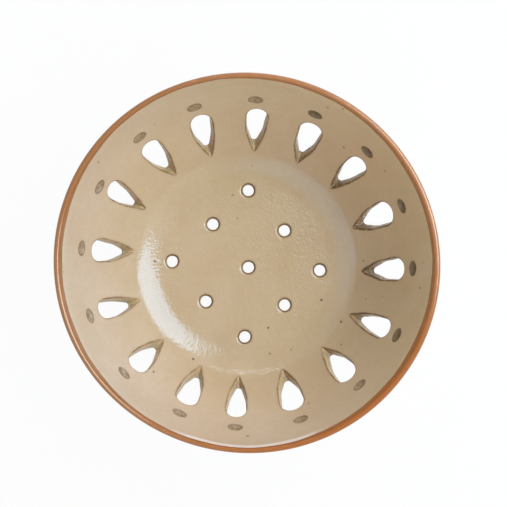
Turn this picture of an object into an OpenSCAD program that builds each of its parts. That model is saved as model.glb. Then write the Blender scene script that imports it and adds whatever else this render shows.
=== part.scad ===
// Berry colander bowl: a hand-made glazed stoneware bowl with teardrop cutouts,
// pressed dimples and a grid of drain holes.
// The origin is the centre of the foot's resting face, with the lip up along +Z.

/* [Bowl] */
// Outside diameter over the lip
rim_d = 200; // [188:1:224]
// Height from the table to the top of the lip
bowl_h = 75; // [69:1:84]
// Thickness of the wall and floor, glaze coats included
wall_t = 5; // [4:0.1:6]
// Diameter of the flat middle of the floor
floor_d = 90; // [88:1:96]
// Inside radius of the curve between the floor and the wall
floor_curve_r = 24; // [18:1:30]
// Slope of the wall where that curve ends, in degrees
floor_curve_slope = 44; // [38:1:48]

/* [Foot] */
// Height of the glazed underside of the floor above the table
foot_h = 6; // [4:0.5:10]
// Outside diameter of the foot ring
foot_d = 104; // [103:1:112]
// Radial width of the foot ring
foot_w = 6; // [4:0.5:6.5]
// Radius along the bottom edges of the foot ring
foot_edge_r = 1.2; // [0.6:0.1:1.8]
// Thickness of the slip between the foot ring and the floor
slip_t = 0.5; // [0.3:0.1:1]
// Reach of the slip's fillet on each side of the foot ring
slip_fillet = 0.8; // [0.4:0.1:1.2]

/* [Glaze] */
// Thickness of each glaze coat
glaze_t = 0.4; // [0.3:0.05:0.6]
// Width of the band over the lip, seen from above
lip_band_w = 3.9; // [3:0.1:4.5]
// Length of the lip band down the outside wall, below the rounded lip
lip_band_drop = 2; // [1:0.5:6]
// Bare clay between the slip's fillet and the outside glaze
bare_w = 0.8; // [0.4:0.1:3]

/* [Teardrop cutouts] */
// Number of teardrops round the wall
teardrop_n = 16; // [8:1:18]
// Length of a teardrop along the wall
teardrop_len = 32; // [28:0.5:34]
// Width of a teardrop at its round end
teardrop_w = 11.7; // [9:0.1:13]
// Width of a teardrop at its belly, between the round end and the tip
teardrop_belly_w = 10; // [8:0.1:11]
// Distance from the middle of the round end down to the middle of the belly
teardrop_belly_drop = 13.6; // [11:0.1:14.5]
// Radius of a teardrop's tip
teardrop_tip_r = 0.7; // [0.5:0.1:1.5]
// Distance along the wall from the lip down to the middle of a teardrop
teardrop_drop = 49; // [47:0.5:51]
// Greatest distance of a teardrop's middle up or down the wall from there
teardrop_rise = 2; // [0:0.1:2.5]
// Direction of the first teardrop, in degrees
teardrop_turn = 19; // [0:1:45]
// Lean of the most crooked teardrop, in degrees
teardrop_lean = 4; // [0:0.5:8]
// Sideways slant of the most slanted cut through the wall, in degrees
teardrop_slant = 9; // [0:0.5:12]

/* [Dimples] */
// Diameter of a dimple
dimple_d = 8.2; // [6:0.1:10]
// Depth of a dimple
dimple_depth = 1.3; // [0.8:0.1:1.8]
// Distance along the wall from the lip down to the middle of a dimple
dimple_drop = 22.7; // [18:0.1:25]
// Thickness of the glaze that pooled in a dimple
pool_t = 0.7; // [0.5:0.1:1]

/* [Drain holes] */
// Diameter of a drain hole inside its glaze lining
drain_d = 6; // [5:0.1:7.5]
// Distance between neighbouring drain holes
drain_pitch = 28.4; // [20:0.1:28.8]
// Turn of the grid of drain holes, in degrees
drain_turn = 42.2; // [0:0.1:90]

/* [Hidden] */

// Holes were cut by hand. Each drift is a share of the angle between two holes, each
// rise, lean and slant a share of the greatest one, and each width of the full width.
teardrop_drift_shares = [0.05, 0.025, 0.01, -0.015, -0.04, -0.1, -0.14, -0.1,
    -0.05, 0.03, 0.08, -0.03, -0.03, 0.035, 0.03, 0.055];
teardrop_rise_shares = [-0.3, 0.2, 0.3, 0.4, 0.4, 0.4, 1, -0.05,
    -0.15, -0.35, -0.7, -0.6, -1, -0.7, 0.35, 0.55];
teardrop_lean_shares = [0.6, -0.5, 0.2, -0.25, -0.2, 0.8, -0.3, 0.95,
    -0.4, 0.25, 0.05, -0.1, -0.5, -0.1, 0.3, 0.7];
teardrop_slant_shares = [0.75, 0.9, 0.9, 0.9, 0.55, 0.7, 0.7, 0.9,
    0.8, 0.75, 1, 0.65, 0.5, 0.9, 0.65, 0.55];
teardrop_width_shares = [1.06, 0.93, 1.04, 0.95, 0.99, 0.98, 0.84, 0.98,
    0.87, 1, 1.03, 0.92, 1.1, 1.05, 0.93, 1];
dimple_drift_shares = [0.06, 0.06, 0.06, 0.02, -0.02, -0.05, -0.065, -0.08,
    -0.025, 0.01, 0.08, -0.025, 0.005, 0.06, 0.02, 0.08];
// Drifts of the drain holes as shares of their pitch, row by row along the turned grid.
drain_drift_shares = [
    [[0.05, 0.01], [-0.045, 0.015], [-0.01, 0.015]],
    [[0.025, -0.05], [-0.005, -0.05], [0.045, 0.02]],
    [[-0.03, -0.01], [-0.02, 0.01], [-0.015, 0.045]]];
// A teardrop's straight sides start this share of the radius from its circles' centres.
side_start_share = 0.99;

// Segments of the floor's curve, of the wall, of the lip and of small corners.
floor_curve_steps = 8;
wall_steps = 10;
lip_steps = 16;
corner_steps = 4;
turn_fn = 144;
hole_fn = 48;

floor_r = floor_d / 2;
floor_z = foot_h + wall_t;
half_t = wall_t / 2;
// Offsets are measured from the glazed inside surface, square to it.
clay_in = glaze_t;
clay_out = wall_t - glaze_t;
ring_top = clay_out + slip_t;
foot_out_r = foot_d / 2;
foot_in_r = foot_out_r - foot_w;
ball_r = (dimple_d * dimple_d / 4 + dimple_depth * dimple_depth) / (2 * dimple_depth);
// How far a cutter runs past the surfaces that it cuts.
overrun = wall_t;

// The wall's section is two arcs that meet with one tangent: the floor's curve,
// and the wall from there to the middle of the rounded lip.
curve_c = [floor_r, floor_z + floor_curve_r];
curve_mid_r = floor_curve_r + half_t;
curve_end = curve_c + curve_mid_r * [sin(floor_curve_slope), -cos(floor_curve_slope)];
lip_c = [rim_d / 2 - half_t, bowl_h - half_t];
rise = lip_c - curve_end;
lip_slope = 2 * atan2(rise.y, rise.x) - floor_curve_slope;
wall_mid_r = rise.x / (sin(lip_slope) - sin(floor_curve_slope));
wall_c = curve_end + wall_mid_r * [-sin(floor_curve_slope), cos(floor_curve_slope)];
slopes = concat(
    [for (i = [0:floor_curve_steps]) floor_curve_slope * i / floor_curve_steps],
    [for (i = [1:wall_steps])
        floor_curve_slope + (lip_slope - floor_curve_slope) * i / wall_steps]);

// Point of the section at a slope, at an offset from the inside surface.
function section_at(slope, off) = slope <= floor_curve_slope
    ? curve_c + (floor_curve_r + off) * [sin(slope), -cos(slope)]
    : wall_c + (wall_mid_r - half_t + off) * [sin(slope), -cos(slope)];

// Points along the section between two slopes.
function section_run(off, from, to) = concat(
    [section_at(from, off)],
    [for (s = slopes) if (s > from && s < to) section_at(s, off)],
    [section_at(to, off)]);

function reversed(list) = [for (i = [len(list) - 1:-1:0]) list[i]];

// Points round the lip's centre from one direction to another.
function lip_run(radius, from, to) = [for (i = [0:lip_steps])
    let (turn = from + (to - from) * i / lip_steps)
    lip_c + radius * [cos(turn), sin(turn)]];

// Slope of the wall at a distance along it from the lip.
function slope_at(drop) = lip_slope - drop / wall_mid_r * 180 / PI;

// Slope at which the floor's curve reaches a radius, at an offset.
function slope_at_radius(radius, off) = asin((radius - floor_r) / (floor_curve_r + off));

// Height of the underside of the floor at a radius, at an offset.
function under_z(radius, off) = radius <= floor_r
    ? floor_z - off
    : section_at(slope_at_radius(radius, off), off).y;

module turned(points) {
    rotate_extrude($fn = turn_fn)
        polygon(points);
}

// Wall and floor between two offsets, without the lip.
module wall_layer(near, far, from, to) {
    floor_points = from > 0 ? [] : [[0, floor_z - near]];
    floor_back = from > 0 ? [] : [[0, floor_z - far]];
    turned(concat(
        floor_points,
        section_run(near, from, to),
        reversed(section_run(far, from, to)),
        floor_back));
}

// Places a shape on the inside surface, with X up the wall and Z out of it.
module on_wall(turn, slope) {
    place = section_at(slope, 0);
    rotate([0, 0, turn])
        translate([place.x, 0, place.y])
            rotate([0, -slope, 0])
                children();
}

function pitch_turn(k, drift_shares) = teardrop_turn
    + 360 / teardrop_n * (k + drift_shares[k % len(drift_shares)]);

// Straight sides from a circle to a larger one at its right, almost tangent to both.
module taper_sides(small_x, small_r, big_x, big_r) {
    taper = asin((big_r - small_r) / (big_x - small_x));
    side = side_start_share * [-sin(taper), cos(taper)];
    polygon([
        [big_x, 0] + big_r * side,
        [small_x, 0] + small_r * side,
        [small_x, 0] + small_r * [side.x, -side.y],
        [big_x, 0] + big_r * [side.x, -side.y]]);
}

// Outline of a teardrop with its round end towards +X: circles at the round end, the
// belly and the tip, with straight sides between them.
module teardrop_outline(width_share, grow) {
    end_r = teardrop_w * width_share / 2;
    end_x = teardrop_len / 2 - end_r;
    belly_r = teardrop_belly_w * width_share / 2;
    belly_x = end_x - teardrop_belly_drop;
    tip_x = teardrop_tip_r - teardrop_len / 2;
    translate([end_x, 0])
        circle(end_r + grow, $fn = hole_fn);
    translate([belly_x, 0])
        circle(belly_r + grow, $fn = hole_fn);
    translate([tip_x, 0])
        circle(teardrop_tip_r + grow, $fn = hole_fn);
    taper_sides(belly_x, belly_r + grow, end_x, end_r + grow);
    taper_sides(tip_x, teardrop_tip_r + grow, belly_x, belly_r + grow);
}

module teardrop_cutter(k, grow) {
    lean = teardrop_lean * teardrop_lean_shares[k % len(teardrop_lean_shares)];
    slant = teardrop_slant * teardrop_slant_shares[k % len(teardrop_slant_shares)];
    climb = teardrop_rise * teardrop_rise_shares[k % len(teardrop_rise_shares)];
    on_wall(pitch_turn(k, teardrop_drift_shares), slope_at(teardrop_drop))
        rotate([0, 0, lean])
            rotate([slant, 0, 0])
                translate([climb, 0, -wall_t - overrun])
                    linear_extrude(wall_t + 2 * overrun)
                        teardrop_outline(teardrop_width_shares[k % len(teardrop_width_shares)], grow);
}

module teardrop_cutters(grow) {
    for (k = [0:teardrop_n - 1])
        teardrop_cutter(k, grow);
}

module drain_cutters(grow, bottom, top) {
    rotate([0, 0, drain_turn])
        for (row = [0:2], column = [0:2])
            translate(drain_pitch * ([row - 1, column - 1] + drain_drift_shares[row][column]))
                translate([0, 0, bottom])
                    cylinder(h = top - bottom, d = drain_d + 2 * grow, $fn = hole_fn);
}

module dimple_balls(grow) {
    for (k = [0:teardrop_n - 1])
        on_wall(pitch_turn(k, dimple_drift_shares), slope_at(dimple_drop))
            translate([0, 0, ball_r - dimple_depth])
                sphere(ball_r + grow, $fn = hole_fn);
}

module clay_body() {
    color("#a4754f")
        difference() {
            turned(concat(
                [[0, floor_z - clay_in]],
                section_run(clay_in, 0, lip_slope),
                lip_run(half_t - glaze_t, lip_slope + 90, lip_slope - 90),
                reversed(section_run(clay_out, 0, lip_slope)),
                [[0, floor_z - clay_out]]));
            teardrop_cutters(glaze_t);
            drain_cutters(glaze_t, foot_h - overrun, floor_z + overrun);
            dimple_balls(pool_t);
        }
}

// Quarter of an ellipse from straight above its centre to straight beside it.
function corner_run(centre, width, height) = [for (i = [0:corner_steps])
    let (turn = 90 * i / corner_steps)
    centre + [width * sin(turn), height * cos(turn)]];

// Radii between the foot ring's two faces.
foot_radii = [for (i = [0:corner_steps]) foot_in_r + foot_w * i / corner_steps];

module foot_ring() {
    inner = [foot_in_r + foot_edge_r, foot_edge_r];
    outer = [foot_out_r - foot_edge_r, foot_edge_r];
    color("#a9744b")
        turned(concat(
            [for (r = foot_radii) [r, under_z(r, ring_top)]],
            reversed(corner_run(outer, foot_edge_r, -foot_edge_r)),
            corner_run(inner, -foot_edge_r, -foot_edge_r)));
}

// Fillet of slip beside one of the foot ring's faces, hung from the clay above it: the
// side is 1 for the outer face and -1 for the inner one.
function slip_run(face_r, side) =
    let (drop = under_z(face_r, clay_out) - under_z(face_r, ring_top) + slip_fillet)
    [for (i = [0:corner_steps])
        let (turn = 90 * i / corner_steps, r = face_r + side * slip_fillet * (1 - sin(turn)))
        [r, under_z(r, clay_out) - drop * (1 - cos(turn))]];

module luting_slip() {
    top_radii = concat([foot_in_r - slip_fillet], foot_radii, [foot_out_r + slip_fillet]);
    color("#9a6a48")
        turned(concat(
            slip_run(foot_in_r, -1),
            [for (r = foot_radii) [r, under_z(r, ring_top)]],
            reversed(slip_run(foot_out_r, 1)),
            [for (i = [len(top_radii) - 2:-1:1]) [top_radii[i], under_z(top_radii[i], clay_out)]]));
}

module inside_glaze() {
    band_turn = acos((lip_c.x - rim_d / 2 + lip_band_w) / -half_t);
    color("#c8b18c")
        difference() {
            turned(concat(
                [[0, floor_z]],
                section_run(0, 0, lip_slope),
                lip_run(half_t, lip_slope + 90, band_turn),
                reversed(lip_run(half_t - glaze_t, lip_slope + 90, band_turn)),
                reversed(section_run(clay_in, 0, lip_slope)),
                [[0, floor_z - clay_in]]));
            teardrop_cutters(glaze_t);
            drain_cutters(glaze_t, foot_h - overrun, floor_z + overrun);
            dimple_balls(pool_t);
        }
}

module outside_glaze() {
    start = slope_at_radius(foot_out_r + slip_fillet + bare_w, clay_out);
    color("#bda27c")
        difference() {
            wall_layer(clay_out, wall_t, start, slope_at(lip_band_drop));
            teardrop_cutters(glaze_t);
        }
}

module underside_glaze() {
    color("#bda27c")
        difference() {
            translate([0, 0, foot_h])
                cylinder(h = glaze_t, r = foot_in_r - slip_fillet, $fn = turn_fn);
            drain_cutters(glaze_t, foot_h - overrun, floor_z);
        }
}

module lip_band() {
    band_turn = acos((lip_c.x - rim_d / 2 + lip_band_w) / -half_t);
    band_slope = slope_at(lip_band_drop);
    color("#b0713f")
        turned(concat(
            lip_run(half_t, band_turn, lip_slope - 90),
            reversed(section_run(wall_t, band_slope, lip_slope)),
            section_run(clay_out, band_slope, lip_slope),
            lip_run(half_t - glaze_t, lip_slope - 90, band_turn)));
}

module teardrop_linings() {
    color("#9c7a55")
        difference() {
            intersection() {
                teardrop_cutters(glaze_t);
                wall_layer(0, wall_t, 0, lip_slope);
            }
            teardrop_cutters(0);
        }
}

module drain_linings() {
    color("#9c7a55")
        difference() {
            drain_cutters(glaze_t, foot_h, floor_z);
            drain_cutters(0, foot_h - overrun, floor_z + overrun);
        }
}

module dimple_pools() {
    color("#8d6c48")
        difference() {
            intersection() {
                dimple_balls(pool_t);
                wall_layer(0, wall_t, 0, lip_slope);
            }
            dimple_balls(0);
        }
}

clay_body();
foot_ring();
luting_slip();
inside_glaze();
outside_glaze();
underside_glaze();
lip_band();
teardrop_linings();
drain_linings();
dimple_pools();
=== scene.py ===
import math
from types import SimpleNamespace

import bpy
import numpy as np
from mathutils import Matrix, Vector
from mathutils.geometry import delaunay_2d_cdt

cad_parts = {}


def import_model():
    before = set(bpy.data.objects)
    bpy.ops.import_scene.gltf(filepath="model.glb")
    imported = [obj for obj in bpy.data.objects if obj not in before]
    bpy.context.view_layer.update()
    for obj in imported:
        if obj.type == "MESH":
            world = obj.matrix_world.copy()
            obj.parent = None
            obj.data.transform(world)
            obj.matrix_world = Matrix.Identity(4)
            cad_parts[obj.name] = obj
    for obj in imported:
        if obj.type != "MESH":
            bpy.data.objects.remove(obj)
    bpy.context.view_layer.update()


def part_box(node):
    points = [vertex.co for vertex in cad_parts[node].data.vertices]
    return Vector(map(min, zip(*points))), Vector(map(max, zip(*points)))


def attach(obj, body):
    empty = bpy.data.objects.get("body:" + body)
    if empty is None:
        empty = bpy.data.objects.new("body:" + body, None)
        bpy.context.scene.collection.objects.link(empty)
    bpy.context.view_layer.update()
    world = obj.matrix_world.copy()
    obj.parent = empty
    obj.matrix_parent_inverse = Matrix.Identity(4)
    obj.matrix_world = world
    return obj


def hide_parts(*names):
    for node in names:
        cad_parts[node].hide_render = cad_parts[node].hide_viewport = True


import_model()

# Driving sizes in millimetres and degrees, as in the part's source. The outer ones come
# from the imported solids.
MM = 0.001
RIM_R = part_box("lip_band")[1].x / MM
BOWL_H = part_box("lip_band")[1].z / MM
FOOT_OUT_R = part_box("foot_ring")[1].x / MM
WALL_T = 5.0
GLAZE_T = 0.4
FLOOR_R = 45.0
FOOT_H = 6.0
FOOT_W = 6.0
CURVE_R = 24.0
CURVE_SLOPE = math.radians(44)
SLIP_T = 0.5
SLIP_FILLET = 0.8
BARE_W = 0.8
LIP_BAND_DROP = 2.0

# Teardrops: sizes, and shares of them hole by hole, because they were cut by hand.
TEARDROPS = 16
TEARDROP_LEN = 32.0
TEARDROP_W = 11.7
BELLY_W = 10.0
BELLY_DROP = 13.6
TEARDROP_DROP = 49.0
TEARDROP_RISE = 2.0
TEARDROP_TURN = 19.0
TEARDROP_LEAN = 4.0
TEARDROP_SLANT = 9.0
DRIFT_SHARES = [0.05, 0.025, 0.01, -0.015, -0.04, -0.1, -0.14, -0.1,
                -0.05, 0.03, 0.08, -0.03, -0.03, 0.035, 0.03, 0.055]
RISE_SHARES = [-0.3, 0.2, 0.3, 0.4, 0.4, 0.4, 1, -0.05,
               -0.15, -0.35, -0.7, -0.6, -1, -0.7, 0.35, 0.55]
LEAN_SHARES = [0.6, -0.5, 0.2, -0.25, -0.2, 0.8, -0.3, 0.95,
               -0.4, 0.25, 0.05, -0.1, -0.5, -0.1, 0.3, 0.7]
SLANT_SHARES = [0.75, 0.9, 0.9, 0.9, 0.55, 0.7, 0.7, 0.9,
                0.8, 0.75, 1, 0.65, 0.5, 0.9, 0.65, 0.55]
WIDTH_SHARES = [1.06, 0.93, 1.04, 0.95, 0.99, 0.98, 0.84, 0.98,
                0.87, 1, 1.03, 0.92, 1.1, 1.05, 0.93, 1]

DIMPLE_D = 8.2
DIMPLE_DEPTH = 1.3
DIMPLE_DROP = 22.7
POOL_T = 0.7
DIMPLE_SHARES = [0.06, 0.06, 0.06, 0.02, -0.02, -0.05, -0.065, -0.08,
                 -0.025, 0.01, 0.08, -0.025, 0.005, 0.06, 0.02, 0.08]

DRAIN_R = 3.0
DRAIN_PITCH = 28.4
DRAIN_TURN = math.radians(42.2)
DRAIN_SHARES = [[[0.05, 0.01], [-0.045, 0.015], [-0.01, 0.015]],
                [[0.025, -0.05], [-0.005, -0.05], [0.045, 0.02]],
                [[-0.03, -0.01], [-0.02, 0.01], [-0.015, 0.045]]]

# Rounding of the glaze over cut edges, inside and outside the bowl.
EDGE_R = 0.6
OUT_EDGE_R = 0.6
DRAIN_EDGE_R = 2.0
# How far inside a wide rounding its brown line lies.
LINE_LEAD = 0.7
# How far the clay under a drain hole's rounded edge stands back from the hole.
DRAIN_SEAT = 1.0
# The teardrops' tips on both sides of the wall, and how far their sides are eased.
TIP_IN_R = 0.35
TIP_IN_SHIFT = -2.0
TIP_OUT_R = 1.4
TIP_OUT_SHIFT = 2.3
SIDE_EASE = 3.2
# Outside the wall the belly is slimmer and the sides are straighter.
BELLY_OUT = 0.9
SIDE_EASE_OUT = 1.8
# How uneven the knife left their outlines, which fades over a length at the tip.
TEAR_WAVE = 0.1
WAVE_SPAN = 7.0
# Outlines are eased less towards their tips: the length of that, and the least share.
EASE_SPAN = 9.0
EASE_LEAST = 0.04
# How much less a rounded edge spreads at the tip inside the bowl, and how far from it.
TIP_LESS = 0.72
TIP_SPAN = 5.0
# Width of the ring in which a dimple's edge melts into the wall.
POOL_REACH = 4.65
POOL_SOFT = 0.3
# A dimple's width up the wall as a share of its width round it.
POOL_SQUASH = 0.82

# Mesh densities.
WALL_STEP = 2.3
CLAY_STEP = 1.7 * WALL_STEP
TURN_STEPS = 288
TEAR_STEPS = 104
ARC_STEPS = 60
SIDE_STEPS = 400
# An outline's points are this much denser at its tip, and over this length.
TIP_DENSER = 2.4
TIP_DENSE_SPAN = 1.7
DRAIN_STEPS = 48
POOL_STEPS = 48
# Stands for a distance that is too long to matter.
FAR = 20.0
# How far from a hole points are looked at, and how far its edge is felt in the glaze.
HOLE_MARGIN = 8.0
EDGE_MARGIN = 5.0
# In steps: a ring's own spacing, and how far its points keep from a hole with graded rings
# round it, or without.
RING_SPACE = 0.93
CLEAR_GRADED = 0.55
CLEAR_PLAIN = 0.6

# The wall's section: two arcs that meet with one tangent, then the rounded lip.
FLOOR_Z = FOOT_H + WALL_T
HALF_T = WALL_T / 2
CLAY_OUT = WALL_T - GLAZE_T
CURVE_C = np.array([FLOOR_R, FLOOR_Z + CURVE_R])
CURVE_END = CURVE_C + (CURVE_R + HALF_T) * np.array([math.sin(CURVE_SLOPE), -math.cos(CURVE_SLOPE)])
LIP_C = np.array([RIM_R - HALF_T, BOWL_H - HALF_T])
LIP_RISE = LIP_C - CURVE_END
LIP_SLOPE = 2 * math.atan2(LIP_RISE[1], LIP_RISE[0]) - CURVE_SLOPE
WALL_MID_R = LIP_RISE[0] / (math.sin(LIP_SLOPE) - math.sin(CURVE_SLOPE))
WALL_C = CURVE_END + WALL_MID_R * np.array([-math.sin(CURVE_SLOPE), math.cos(CURVE_SLOPE)])
WALL_R = WALL_MID_R - HALF_T

# Distance along the inside surface from the bowl's centre to each change of arc.
RUN_CURVE = FLOOR_R
RUN_WALL = RUN_CURVE + CURVE_R * CURVE_SLOPE
RUN_LIP = RUN_WALL + WALL_R * (LIP_SLOPE - CURVE_SLOPE)


def slope_of(run):
    """Slope of the section at a distance along the inside surface."""
    run = np.asarray(run, float)
    curve = (run - RUN_CURVE) / CURVE_R
    wall = CURVE_SLOPE + (run - RUN_WALL) / WALL_R
    lip = LIP_SLOPE - (run - RUN_LIP) / HALF_T
    slope = np.where(run < RUN_CURVE, 0.0, np.where(run < RUN_WALL, curve, wall))
    return np.where(run > RUN_LIP, lip, slope)


def run_of(slope):
    """Distance along the inside surface at a slope between the floor and the lip."""
    slope = np.asarray(slope, float)
    return np.where(slope < CURVE_SLOPE, RUN_CURVE + CURVE_R * slope,
                    RUN_WALL + WALL_R * (slope - CURVE_SLOPE))


def section(run, off):
    """Radius and height of the section at a distance along it, and a depth below it."""
    run, off = np.broadcast_arrays(np.asarray(run, float), np.asarray(off, float))
    slope = slope_of(run)
    r, z = run, FLOOR_Z - off
    for start, centre, radius in ((RUN_CURVE, CURVE_C, CURVE_R), (RUN_WALL, WALL_C, WALL_R),
                                  (RUN_LIP, LIP_C, -HALF_T)):
        r = np.where(run > start, centre[0] + (radius + off) * np.sin(slope), r)
        z = np.where(run > start, centre[1] - (radius + off) * np.cos(slope), z)
    return r, z


def on_surface(run, turn, off):
    """Points of the bowl, in millimetres."""
    r, z = section(run, off)
    turn = np.broadcast_to(turn, r.shape)
    return np.stack([r * np.cos(turn), r * np.sin(turn), z], -1)


def depth_and_run(points):
    """How deep each point lies below the inside surface, and its distance along it."""
    r, z = np.hypot(points[..., 0], points[..., 1]), points[..., 2]
    off, run = FLOOR_Z - z, r
    for centre, radius, start in ((CURVE_C, CURVE_R, 0.0), (WALL_C, WALL_R, CURVE_SLOPE)):
        out, down = r - centre[0], centre[1] - z
        slope = np.arctan2(out, down)
        off = np.where(slope > start, np.hypot(out, down) - radius, off)
        run = np.where(slope > start, run_of(slope), run)
    return off, run


# A flat chart of the bowl that keeps angles, in which the sheets are triangulated.
CHART_RUN = np.linspace(1.0, RUN_LIP + 1, 4000)
CHART_R = section(CHART_RUN, 0)[0]
CHART_LOG = np.concatenate([[0.0], np.cumsum(np.diff(CHART_RUN) * 2 / (CHART_R[1:] + CHART_R[:-1]))])


def chart_radius(run):
    run = np.asarray(run, float)
    return np.where(run < 1, run, np.exp(np.interp(run, CHART_RUN, CHART_LOG)))


def chart_run(radius):
    return np.where(radius < 1, radius, np.interp(np.log(np.maximum(radius, 1e-6)), CHART_LOG, CHART_RUN))


def waves(turn, seed, size, lobes):
    """Smooth uneven wave round the bowl or a hole, the same on every run."""
    rng = np.random.default_rng(seed)
    total = np.zeros(np.shape(turn))
    for n in lobes:
        total += rng.normal() * np.cos(n * turn + rng.uniform(0, 2 * math.pi)) / math.sqrt(len(lobes))
    return size * total


# The wall thins towards the lip: its share of the full thickness, and where that begins.
LIP_THIN = 0.65
THIN_FROM = 50.0


def thinned(r, z):
    """Radius of a point after the wall has thinned towards its outside."""
    drop = np.clip(WALL_C[1] - z, 0, WALL_R)
    outside = np.minimum(WALL_C[0] + np.sqrt((WALL_R + WALL_T) ** 2 - drop ** 2), RIM_R)
    rise = np.clip((z - THIN_FROM) / (BOWL_H - THIN_FROM), 0, 1)
    return r + (1 - LIP_THIN) * rise * rise * (3 - 2 * rise) * np.maximum(outside - r, 0)


# Width of the lip's band every 30 degrees from the right, as the photo shows it.
BAND_WIDTHS = [3.9, 4.0, 3.6, 3.2, 2.85, 3.7, 4.1, 4.1, 3.4, 2.9, 4.1, 4.5]
LIP_RUNS = np.linspace(RUN_LIP - 10, RUN_LIP + HALF_T * LIP_SLOPE, 600)
BAND_END_RUN = run_of(LIP_SLOPE - LIP_BAND_DROP / WALL_MID_R)


def band_edge_run(turn):
    """Distance along the surface at which the lip's band begins."""
    marks = np.arange(-1, 14)
    widths = np.array(BAND_WIDTHS)[marks % 12]
    width = waves(turn, 5, 0.1, (8, 13, 19, 29))
    for shift in (-10, -5, 0, 5, 10):
        place = np.degrees(turn) + shift
        width = width + np.interp(place / 30, marks, widths) / 5
    return np.interp(RIM_R - width, thinned(*section(LIP_RUNS, 0)), LIP_RUNS)


# Hand-made unevenness of the whole pot: oval outside the floor, with a lip that isn't level.
OVAL_AXIS = math.radians(160)
OVAL_SHARE = 0.0103
OVAL_FROM_R, OVAL_SPAN = 45.0, 55.0
SAG_FROM_Z, SAG_SPAN = 30.0, 45.0


def thrown(points):
    """Bends the ideal bowl and thins its wall, as on the wheel."""
    p = np.array(points, float)
    r, turn = np.hypot(p[:, 0], p[:, 1]), np.arctan2(p[:, 1], p[:, 0])
    p[:, :2] *= (thinned(r, p[:, 2]) / np.maximum(r, 1e-6))[:, None]
    reach = np.clip((r - OVAL_FROM_R) / OVAL_SPAN, 0, 1) ** 1.5
    grow = OVAL_SHARE * reach * np.cos(2 * (turn - OVAL_AXIS))
    grow += 0.0006 * reach * np.cos(3 * turn + 1.1) + 0.0005 * reach * np.cos(5 * turn + 0.3)
    high = np.clip((p[:, 2] - SAG_FROM_Z) / SAG_SPAN, 0, 1) ** 2
    p[:, :2] *= (1 + grow)[:, None]
    p[:, 2] -= high * (0.22 + 0.16 * np.cos(2 * turn + 0.7) + 0.06 * np.cos(5 * turn + 2.0))
    return p


# Teardrop and dimple places.
TEAR_SLOPE = LIP_SLOPE - TEARDROP_DROP / WALL_MID_R
DIMPLE_SLOPE = LIP_SLOPE - DIMPLE_DROP / WALL_MID_R
DIMPLE_RUN = float(run_of(DIMPLE_SLOPE))


def pitch_turn(k, share):
    return math.radians(TEARDROP_TURN + 360 / TEARDROPS * (k + share))


def teardrop_place(k):
    """Matrix from a teardrop's own frame to the bowl: X up the wall, Z out of it."""
    r, z = section(run_of(TEAR_SLOPE), 0)
    place = (Matrix.Rotation(pitch_turn(k, DRIFT_SHARES[k]), 4, "Z")
             @ Matrix.Translation((float(r), 0, float(z)))
             @ Matrix.Rotation(-TEAR_SLOPE, 4, "Y")
             @ Matrix.Rotation(math.radians(TEARDROP_LEAN * LEAN_SHARES[k]), 4, "Z")
             @ Matrix.Rotation(math.radians(TEARDROP_SLANT * SLANT_SHARES[k]), 4, "X")
             @ Matrix.Translation((TEARDROP_RISE * RISE_SHARES[k], 0, 0)))
    return np.array(place)


def teardrop_side(k, tip_r, tip_shift, belly, ease):
    """Half a teardrop's outline from its round end to its tip: x, y and the normal's angle.

    It follows the end, belly and tip circles, with the turns between them eased."""
    share = WIDTH_SHARES[k]
    end_r, belly_r = TEARDROP_W * share / 2, BELLY_W * belly * share / 2
    end_x = TEARDROP_LEN / 2 - end_r
    belly_x = end_x - BELLY_DROP
    tip_x = tip_r - TEARDROP_LEN / 2 + tip_shift
    upper = math.pi / 2 + math.asin((end_r - belly_r) / (end_x - belly_x))
    lower = math.pi / 2 + math.asin((belly_r - tip_r) / (belly_x - tip_x))
    arcs = [(end_x, end_r, 0.0, upper), (belly_x, belly_r, upper, lower), (tip_x, tip_r, lower, math.pi)]
    marks = []
    for x, radius, start, stop in arcs:
        for a in np.linspace(start, stop, ARC_STEPS):
            marks.append((x + radius * math.cos(a), radius * math.sin(a), a))
    marks = np.array(marks)
    along = np.concatenate([[0], np.cumsum(np.hypot(*np.diff(marks[:, :2], axis=0).T))])
    fine = np.linspace(0, along[-1], SIDE_STEPS)
    angle = np.interp(fine, along, marks[:, 2])
    whole = np.concatenate([-angle[:0:-1], angle, 2 * math.pi - angle[-2::-1]])
    at = np.concatenate([-fine[:0:-1], fine, 2 * fine[-1] - fine[-2::-1]])
    eased = np.empty_like(angle)
    for i, place in enumerate(fine):
        reach = ease * min(1.0, EASE_LEAST + (fine[-1] - place) / EASE_SPAN)
        weight = np.exp(-0.5 * ((at - place) / reach) ** 2)
        eased[i] = (weight * whole).sum() / weight.sum()
    pace = fine[1]
    middle = (eased[1:] + eased[:-1]) / 2
    y = np.concatenate([[0], np.cumsum(np.cos(middle)) * pace])
    x = -np.concatenate([[0], np.cumsum(np.sin(middle)) * pace])
    y -= y[-1] * fine / fine[-1]
    x = TEARDROP_LEN / 2 + x * (TEARDROP_LEN - tip_shift) / -x[-1]
    y *= TEARDROP_W * share / 2 / y.max()
    return x, y, eased


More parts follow.
